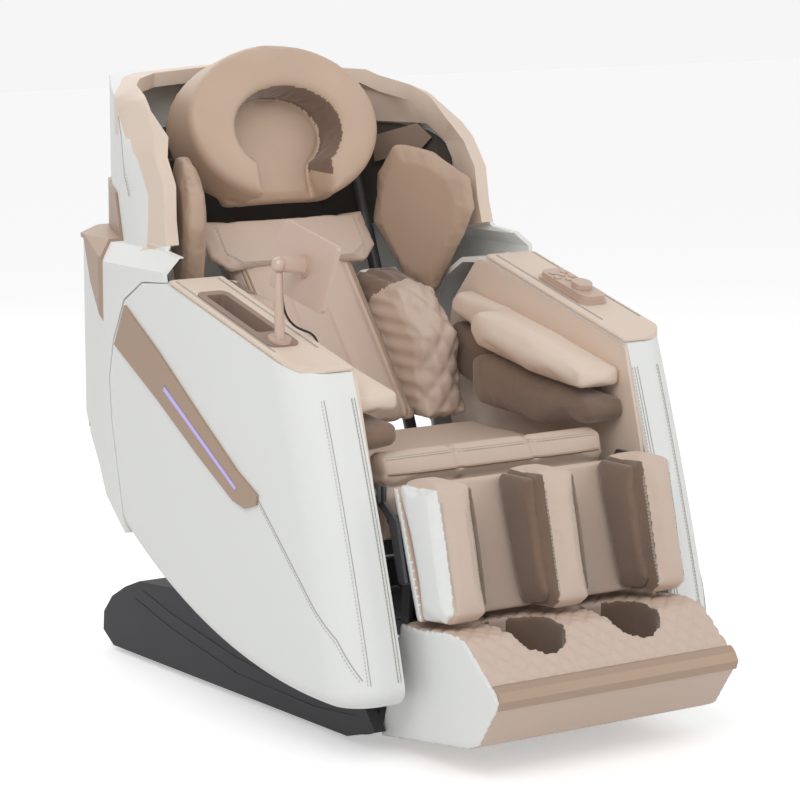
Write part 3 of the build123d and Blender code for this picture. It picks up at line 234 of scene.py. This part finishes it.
def laid(tree, points, direction, lift, step=0.006):
    """Points spread along a route and dropped on a surface, with the surface's normals."""
    found = []
    for a, b in zip(points, points[1:]):
        a, b = Vector(a), Vector(b)
        count = max(1, int((b - a).length / step))
        for k in range(count):
            spot = a.lerp(b, k / count)
            hit, normal, _, _ = tree.ray_cast(spot - direction * DROP_FROM, direction)
            if hit is not None:
                found.append((hit + normal * lift, normal))
    return found


def tube(name, line, radius, material, body):
    """A round piping along a line of points."""
    curve = bpy.data.curves.new(name, "CURVE")
    curve.dimensions = "3D"
    curve.bevel_depth = radius
    curve.bevel_resolution = 2
    curve.use_fill_caps = True
    spline = curve.splines.new("POLY")
    spline.points.add(len(line) - 1)
    for point, place in zip(spline.points, line):
        point.co = (*place, 1)
    obj = bpy.data.objects.new(name, curve)
    bpy.context.scene.collection.objects.link(obj)
    pick(obj)
    bpy.ops.object.convert(target="MESH")
    obj = bpy.context.view_layer.objects.active
    obj.data.materials.append(material)
    for face in obj.data.polygons:
        face.use_smooth = True
    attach(obj, body)
    return obj


def stitches(name, found, material, body, shift=0.0, thick=0.0007):
    """A row of thread stitches along points laid on a surface."""
    verts, faces = [], []
    for (a, normal), (b, _) in zip(found[:-1], found[1:]):
        along = b - a
        if not STITCH_SHORTEST <= along.length <= STITCH_LONGEST:
            continue
        along.normalize()
        side = along.cross(normal).normalized()
        middle = (a + b) / 2 + side * shift
        start = len(verts)
        for u, v, w in ((-1, -1, -0.5), (1, -1, -0.5), (1, 1, -0.5), (-1, 1, -0.5),
                        (-0.8, -0.7, 1), (0.8, -0.7, 1), (0.8, 0.7, 1), (-0.8, 0.7, 1)):
            verts.append(middle + along * u * STITCH_HALF + side * v * thick + normal * w * thick)
        for quad in ((3, 2, 1, 0), (4, 5, 6, 7), (0, 1, 5, 4), (1, 2, 6, 5), (2, 3, 7, 6), (3, 0, 4, 7)):
            faces.append([start + k for k in quad])
    mesh = bpy.data.meshes.new(name)
    mesh.from_pydata(verts, [], faces)
    obj = bpy.data.objects.new(name, mesh)
    bpy.context.scene.collection.objects.link(obj)
    mesh.materials.append(material)
    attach(obj, body)
    return obj


def seam(name, tree, points, direction, body, pipe, thread=None, radius=0.0016, gap=0.005):
    """Piping with a row of stitches beside it."""
    found = laid(tree, points, direction, 0.0004)
    if len(found) < 3:
        raise RuntimeError(name + " misses its surface")
    tube(name + "_piping", [p for p, _ in found], radius, pipe, body)
    if thread is not None:
        stitches(name + "_stitches", found, thread, body, shift=gap)


class ChairFinish(bpy.types.PropertyGroup):
    white: bpy.props.FloatVectorProperty(name="White leather", description="Colour of the outer shells",
                                         subtype="COLOR", default=(0.80, 0.81, 0.79), min=0, max=1)
    beige: bpy.props.FloatVectorProperty(name="Beige leather",
                                         description="Colour of the arm tops and the hood rim",
                                         subtype="COLOR", default=(0.70, 0.52, 0.38), min=0, max=1)
    pillow: bpy.props.FloatVectorProperty(name="Pillow leather", description="Colour of the head pillow",
                                          subtype="COLOR", default=(0.64, 0.47, 0.35), min=0, max=1)
    tan: bpy.props.FloatVectorProperty(name="Tan leather", description="Colour of the leg and seat leather",
                                       subtype="COLOR", default=(0.46, 0.30, 0.21), min=0, max=1)
    suede: bpy.props.FloatVectorProperty(name="Suede", description="Colour of the brushed lining",
                                         subtype="COLOR", default=(0.26, 0.17, 0.12), min=0, max=1)
    bronze: bpy.props.FloatVectorProperty(name="Bronze", description="Colour of the bands and ribbons",
                                          subtype="COLOR", default=(0.30, 0.20, 0.145), min=0, max=1)
    rose_gold: bpy.props.FloatVectorProperty(name="Rose gold",
                                             description="Colour of the tablet and controller",
                                             subtype="COLOR", default=(0.50, 0.34, 0.27), min=0, max=1)
    black: bpy.props.FloatVectorProperty(name="Black plastic", description="Colour of the base",
                                         subtype="COLOR", default=(0.042, 0.042, 0.045), min=0, max=1)
    swell: bpy.props.FloatProperty(name="Swell", description="How far a cushion may puff out",
                                   default=0.009, min=0, max=0.03, subtype="DISTANCE", unit="LENGTH")


class CHAIR_OT_stage(bpy.types.Operator):
    """Make the floor, the studio light and the camera"""
    bl_idname = "chair.stage"
    bl_label = "Stage"

    def execute(self, context):
        scene = context.scene
        scene.view_settings.view_transform = "Standard"
        clear_selection()
        bpy.ops.mesh.primitive_plane_add(size=30, location=(0, 0, 0))
        floor = context.object
        floor.name = "studio_floor"
        floor.data.materials.append(finish("studio_floor", (0.86, 0.86, 0.86), 0.8, shade=0.0))
        tree = floor.data.materials[0].node_tree
        both = tree.nodes.new("ShaderNodeAddShader")
        pale = tree.nodes.new("ShaderNodeEmission")
        tree.links.new(seen_directly(tree, 0.42, 0.0), pale.inputs["Strength"])
        tree.links.new(tree.nodes["Principled BSDF"].outputs[0], both.inputs[0])
        tree.links.new(pale.outputs[0], both.inputs[1])
        tree.links.new(both.outputs[0], tree.nodes["Material Output"].inputs["Surface"])
        world = bpy.data.worlds.new("studio_world")
        world.use_nodes = True
        world.node_tree.nodes["Background"].inputs["Color"].default_value = (1, 1, 1, 1)
        world.node_tree.links.new(seen_directly(world.node_tree, 0.37, 0.55),
                                  world.node_tree.nodes["Background"].inputs["Strength"])
        scene.world = world
        for name, place, size, power in (("key_light", (-2.6, -2.4, 3.4), 2.5, 62),
                                         ("fill_light", (3.2, -2.6, 2.4), 2.5, 26),
                                         ("back_light", (0.4, 3.2, 3.2), 2.5, 34)):
            lamp = bpy.data.lights.new(name, "AREA")
            lamp.size = size
            lamp.energy = power
            light = bpy.data.objects.new(name, lamp)
            light.location = place
            aim = Vector((0, 0, 0.5)) - Vector(place)
            light.rotation_euler = aim.to_track_quat("-Z", "Y").to_euler()
            scene.collection.objects.link(light)
        lens = bpy.data.cameras.new("studio_camera")
        lens.lens = 144
        camera = bpy.data.objects.new("studio_camera", lens)
        camera.location = (-3.201, -4.624, 1.444)
        heading, rise = math.radians(34.75), math.radians(9.25)
        look = Vector((math.sin(heading) * math.cos(rise), math.cos(heading) * math.cos(rise),
                       -math.sin(rise)))
        camera.rotation_euler = look.to_track_quat("-Z", "Y").to_euler()
        scene.collection.objects.link(camera)
        scene.camera = camera
        return {"FINISHED"}


class CHAIR_OT_hard_parts(bpy.types.Operator):
    """Give every rigid piece of the frame its finish"""
    bl_idname = "chair.hard_parts"
    bl_label = "Rigid parts"

    def execute(self, context):
        tone = colours()
        looks = {
            "white_leather": leather("white_leather", tone.white),
            "beige_leather": leather("beige_leather", tone.beige),
            "tan_leather": leather("tan_leather", tone.tan),
            "suede": suede("brown_suede", tone.suede),
            "black_plastic": finish("black_plastic", tone.black, 0.45, grain=0.3, scale=900, depth=0.0003),
            "dark_lining": suede("dark_lining", (0.05, 0.04, 0.035)),
            "bronze_trim": finish("bronze_trim", tone.bronze, 0.32, metallic=0.75, shade=0.15),
            "rose_gold": finish("rose_gold", tone.rose_gold, 0.27, metallic=0.8, shade=0.06),
            "light_strip": finish("light_strip", (0.50, 0.43, 1.0), 0.3, glow=0.9, shade=0.0),
            "frame_steel": finish("frame_steel", (0.03, 0.03, 0.033), 0.5, grain=0.2, scale=700,
                                  depth=0.0003),
            "bare_steel": finish("bare_steel", (0.55, 0.55, 0.56), 0.3, metallic=1.0),
            "rubber": finish("rubber", (0.02, 0.02, 0.02), 0.75),
            "abs_grey": finish("abs_grey", (0.12, 0.12, 0.125), 0.5),
            "roller_plastic": finish("roller_plastic", (0.55, 0.52, 0.46), 0.35),
            "cable_black": finish("cable_black", (0.012, 0.012, 0.012), 0.5),
            "brown_trim": finish("brown_trim", (0.30, 0.20, 0.15), 0.35, metallic=0.4),
        }
        for part in frame["record"]["subparts"]:
            node = frame["nodes"][part["node"]]
            node.data.materials.clear()
            node.data.materials.append(looks[part["material_slot"]])
        return {"FINISHED"}


class CHAIR_OT_shells(bpy.types.Operator):
    """Make the arm shells, hood shell, rim and arm tops as leather-covered shells with seams"""
    bl_idname = "chair.shells"
    bl_label = "Leather shells"

    def execute(self, context):
        tone = colours()
        white = leather("white_leather", tone.white)
        beige = leather("beige_leather", tone.beige)
        thread = finish("pale_thread", (0.62, 0.58, 0.52), 0.7)
        dark_line = finish("seam_shadow", (0.45, 0.44, 0.42), 0.7)
        for node, material in (("back_shell", white), ("hood_rim", beige)):
            shell = copy_node(node, node + "_leather")
            finish_piece(shell, node, material)
            pick(shell)
            bpy.ops.object.shade_smooth_by_angle(angle=SMOOTH_ANGLE)
        tops = copy_node("arm_tops", "arm_tops_leather")
        remesh(tops, 0.0035)
        for vertex in tops.data.vertices:
            side = math.copysign(1, vertex.co.x)
            out = Vector((abs(vertex.co.x) - CAP_CORNER_X, vertex.co.y - CAP_CORNER_Y))
            if out.x > 0 and out.y < 0 and out.length > CAP_CORNER:
                out *= CAP_CORNER / out.length
                vertex.co.x = side * (CAP_CORNER_X + out.x)
                vertex.co.y = CAP_CORNER_Y + out.y
        finish_piece(tops, "arm_tops", beige)
        tree = surface(tops)
        for side, hand in ((-1, "left"), (1, "right")):
            for k, x in enumerate((0.386, 0.301)):
                seam(f"arm_top_seam_{hand}_{k}", tree, [(side * x, -.205, .9), (side * x, .118, .9)], DOWN,
                     "seat_body", dark_line, thread, radius=0.0007, gap=0.003 * side)
        tree = surface(bpy.data.objects["back_shell_leather"])
        for side, hand in ((-1, "left"), (1, "right")):
            seam(f"hood_seam_{hand}", tree, [(side * .42, .330, .885), (side * .42, .385, .985),
                                             (side * .42, .450, 1.045)],
                 Vector((-side, 0, 0)), "back", dark_line, thread, radius=0.0007)
        for side, hand in ((-1, "left"), (1, "right")):
            node = "side_shell_" + hand
            shell = copy_node(node, node + "_leather")
            finish_piece(shell, node, white)
            pick(shell)
            bpy.ops.object.shade_smooth_by_angle(angle=SMOOTH_ANGLE)
            tree = surface(shell)
            inward = Vector((-side, 0, 0))
            x = side * 0.40
            seam(f"lower_seam_{hand}", tree, [(x, -.172, .418), (x, -.297, .304), (x, -.386, .220),
                                              (x, -.430, .150)], inward, "seat_body",
                 dark_line, thread, radius=0.0009)
            rear = Vector((0, 1, 0))
            for k, offset in enumerate((0.296, 0.302, 0.352)):
                seam(f"front_seam_{hand}_{k}", tree,
                     [(side * offset, -0.9, 0.60), (side * offset, -0.9, 0.14)], rear, "seat_body",
                     dark_line, thread if k != 1 else None, radius=0.0007)
        return {"FINISHED"}


class CHAIR_OT_cushions(bpy.types.Operator):
    """Puff up every cushion and pad, and press their sewn channels"""
    bl_idname = "chair.cushions"
    bl_label = "Cushions and pads"

    def execute(self, context):
        tone = colours()
        tan = leather("tan_leather", tone.tan)
        beige = leather("beige_leather", tone.beige)
        pillow = leather("pillow_leather", tone.pillow)
        brown = suede("brown_suede", tone.suede)
        pad = leather("pad_leather", (0.54, 0.385, 0.285))
        white = leather("white_leather", tone.white)
        trim = finish("bronze_trim", tone.bronze, 0.32, metallic=0.75, shade=0.15)
        thread = finish("pale_thread", (0.62, 0.58, 0.52), 0.7)

        def fold(co, normal):
            return near(co.x, (-0.235, -0.08, 0.08, 0.235)) if normal.z > -0.3 else None

        def back_channels(co, normal):
            return near(co.x, (-0.105, -0.035, 0.035, 0.105)) if normal.y < 0.1 else None

        def diamonds(co, normal):
            u, v = (co.x + co.z * 0.8) / 0.045, (co.x - co.z * 0.8) / 0.045
            if normal.y > 0.1:
                return None
            return min(abs(u - round(u)), abs(v - round(v))) * 0.03

        def wall_edges(co, normal):
            inner = near(abs(co.x), (0.048, 0.168, 0.247))
            return inner - 0.002 if normal.y < -0.3 or normal.z > 0.5 else None

        plan = (
            ("seat_cushion", tan, 0.0060, 0.007, None),
            ("seat_front_rolls", tan, 0.0045, 0.008, fold),
            ("back_cushion", tan, 0.0050, 0.007, back_channels),
            ("back_bolsters", tan, 0.0050, 0.008, diamonds),
            ("shoulder_flap", tan, 0.0045, 0.006, None),
            ("shoulder_pads", pad, 0.0040, 0.006, None),
            ("head_pillow", pillow, 0.0045, 0.010, None),
            ("upper_forearm_pads", beige, 0.0045, 0.006, None),
            ("lower_forearm_pads", brown, 0.0045, 0.006, None),
            ("calf_walls", tan, 0.0040, 0.005, wall_edges),
            ("calf_pads", brown, 0.0045, 0.006, None),
        )
        for node, material, voxel, cap, channel in plan:
            cushion = copy_node(node, node + "_cover")
            remesh(cushion, voxel)
            patches = [self.patch(node, face) for face in cushion.data.polygons]
            inflate(cushion, min(cap, tone.swell * 1.2))
            if channel is not None:
                groove(cushion, channel, 0.006, 0.006)
            ease = cushion.modifiers.new("Ease", "SMOOTH")
            ease.iterations = 2
            apply_all(cushion)
            finish_piece(cushion, node, material, extra=(brown, white, trim))
            for face, patch in zip(cushion.data.polygons, patches):
                face.material_index = patch
        self.trim_lines(trim, thread)
        return {"FINISHED"}


    def patch(self, node, face):
        """Which finish a cushion's face takes: 0 its own, 1 suede, 2 white leather."""
        c, n = face.center, face.normal
        if node == "head_pillow":
            inward = -(n.x * c.x + n.z * (c.z - PILLOW_MIDDLE_Z))
            facing = -n.y * math.cos(PILLOW_LEAN) + n.z * math.sin(PILLOW_LEAN)
            reach = math.hypot(c.x, c.z - PILLOW_MIDDLE_Z)
            return 1 if inward > 0 and abs(facing) < 0.62 and reach < PILLOW_REACH else 0
        if node == "calf_walls":
            if abs(c.x) > 0.235 and n.x * c.x > 0.5 * abs(c.x):
                return 2
            return 1 if abs(n.x) > 0.5 else 0
        if node == "back_bolsters":
            up = (c.y - BACK_FOOT_Y) * math.sin(BACK_LEAN) + (c.z - BACK_FOOT_Z) * math.cos(BACK_LEAN)
            if up > 0.335:
                return 2
            return 1 if up > 0.27 else 0
        return 0

    def trim_lines(self, trim, thread):
        """Bronze piping down the back cushion and seams round the front rolls and pads."""
        tree = surface(bpy.data.objects["back_cushion_cover"])
        for k, x in enumerate((-0.118, -0.112, 0.112, 0.118)):
            seam(f"back_trim_{k}", tree, [back_point(x, 0.02, 0), back_point(x, 0.44, 0)], BACK_IN, "back",
                 trim, thread if k in (0, 3) else None, radius=0.0022,
                 gap=math.copysign(0.006, x))
        tree = surface(bpy.data.objects["seat_front_rolls_cover"])
        for k, z in enumerate((0.489, 0.462, 0.436)):
            seam(f"front_roll_trim_{k}", tree, [(-0.225, -0.5, z), (0.225, -0.5, z)], Vector((0, 1, 0)),
                 "seat_body", trim if k == 1 else thread, thread if k != 1 else None,
                 radius=0.0022 if k == 1 else 0.0006)
        tree = surface(bpy.data.objects["calf_walls_cover"])
        for k, x in enumerate((-0.238, -0.184, -0.026, 0.026, 0.184, 0.238)):
            seam(f"calf_wall_seam_{k}", tree, [(x, -0.9, 0.445), (x, -0.9, 0.265)], Vector((0, 1, 0)),
                 "leg", thread, thread, radius=0.0005, gap=0.002)
        tree = surface(bpy.data.objects["shoulder_flap_cover"])
        seam("flap_seam", tree, [(-0.150, 0.20, 0.835), (-0.150, 0.20, 0.770), (-0.120, 0.20, 0.752),
                                 (0.120, 0.20, 0.752), (0.150, 0.20, 0.770), (0.150, 0.20, 0.835)],
             Vector((0, 1, 0)), "back", thread, thread, radius=0.0006, gap=0.003)


class CHAIR_OT_leg_rest(bpy.types.Operator):
    """Make the calf and foot sections' leather covers"""
    bl_idname = "chair.leg_rest"
    bl_label = "Leg rest covers"

    def execute(self, context):
        tone = colours()
        tan = leather("tan_leather", tone.tan)
        brown = suede("brown_suede", tone.suede)
        white = leather("white_leather", tone.white)
        for node in ("calf_housing", "foot_housing"):
            cover = copy_node(node, node + "_cover")
            remesh(cover, 0.0045)

            def quilt(co, normal):
                u, v = (co.x + co.y) / 0.034, (co.x - co.y) / 0.034
                if normal.z < 0.3 or node == "calf_housing":
                    return None
                return min(abs(u - round(u)), abs(v - round(v))) * 0.034

            finish_piece(cover, node, tan, extra=(brown, white))
            for face in cover.data.polygons:
                c = face.center
                if abs(c.x) > LEG_SIDE and abs(face.normal.x) > 0.5:
                    face.material_index = 2
                elif node == "foot_housing":
                    inside = 0.040 < abs(c.x) < 0.165 and -0.60 < c.y < -0.44 and 0.09 < c.z < 0.24
                    face.material_index = 1 if inside and face.normal.z < 0.55 else 0
            groove(cover, quilt, 0.003, 0.0035)
        return {"FINISHED"}


class CHAIR_OT_cable(bpy.types.Operator):
    """Lay the tablet's cable from the post into the arm"""
    bl_idname = "chair.cable"
    bl_label = "Tablet cable"

    def execute(self, context):
        points = [(-.3505, -.1655, .787), (-.3445, -.160, .775), (-.3415, -.157, .759), (-.339, -.156, .742),
                  (-.3345, -.156, .726), (-.326, -.157, .712), (-.3145, -.1585, .702), (-.302, -.1605, .696),
                  (-.291, -.1625, .692), (-.2815, -.1645, .684), (-.2765, -.1665, .672),
                  (-.2774, -.1685, .662), (-.2782, -.170, .656)]
        curve = bpy.data.curves.new("tablet_cable_jacket", "CURVE")
        curve.dimensions = "3D"
        curve.bevel_depth = 0.002
        curve.bevel_resolution = 3
        curve.resolution_u = 12
        curve.use_fill_caps = True
        spline = curve.splines.new("NURBS")
        spline.points.add(len(points) - 1)
        for point, place in zip(spline.points, points):
            point.co = (*place, 1)
        spline.order_u = 3
        spline.use_endpoint_u = True
        cable = bpy.data.objects.new("tablet_cable_jacket", curve)
        context.scene.collection.objects.link(cable)
        curve.materials.append(finish("cable_black", (0.012, 0.012, 0.012), 0.5))
        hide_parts("tablet_cable")
        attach(cable, "seat_body")
        return {"FINISHED"}


STEPS = (CHAIR_OT_stage, CHAIR_OT_hard_parts, CHAIR_OT_shells, CHAIR_OT_cushions, CHAIR_OT_leg_rest,
         CHAIR_OT_cable)


class CHAIR_PT_panel(bpy.types.Panel):
    """Lists the steps that build the chair"""
    bl_idname = "CHAIR_PT_panel"
    bl_label = "Massage Chair"
    bl_space_type = "VIEW_3D"
    bl_region_type = "UI"
    bl_category = "Massage Chair"

    def draw(self, context):
        for key in ChairFinish.__annotations__:
            self.layout.prop(context.scene.chair_finish, key)
        for step in STEPS:
            self.layout.operator(step.bl_idname)


CLASSES = (ChairFinish, *STEPS, CHAIR_PT_panel)


def register():
    for cls in CLASSES:
        bpy.utils.register_class(cls)
    bpy.types.Scene.chair_finish = bpy.props.PointerProperty(type=ChairFinish)


def unregister():
    del bpy.types.Scene.chair_finish
    for cls in reversed(CLASSES):
        bpy.utils.unregister_class(cls)


def main():
    register()
    for step in STEPS:
        group, _, action = step.bl_idname.partition(".")
        getattr(getattr(bpy.ops, group), action)()


if __name__ == "__main__":
    main()
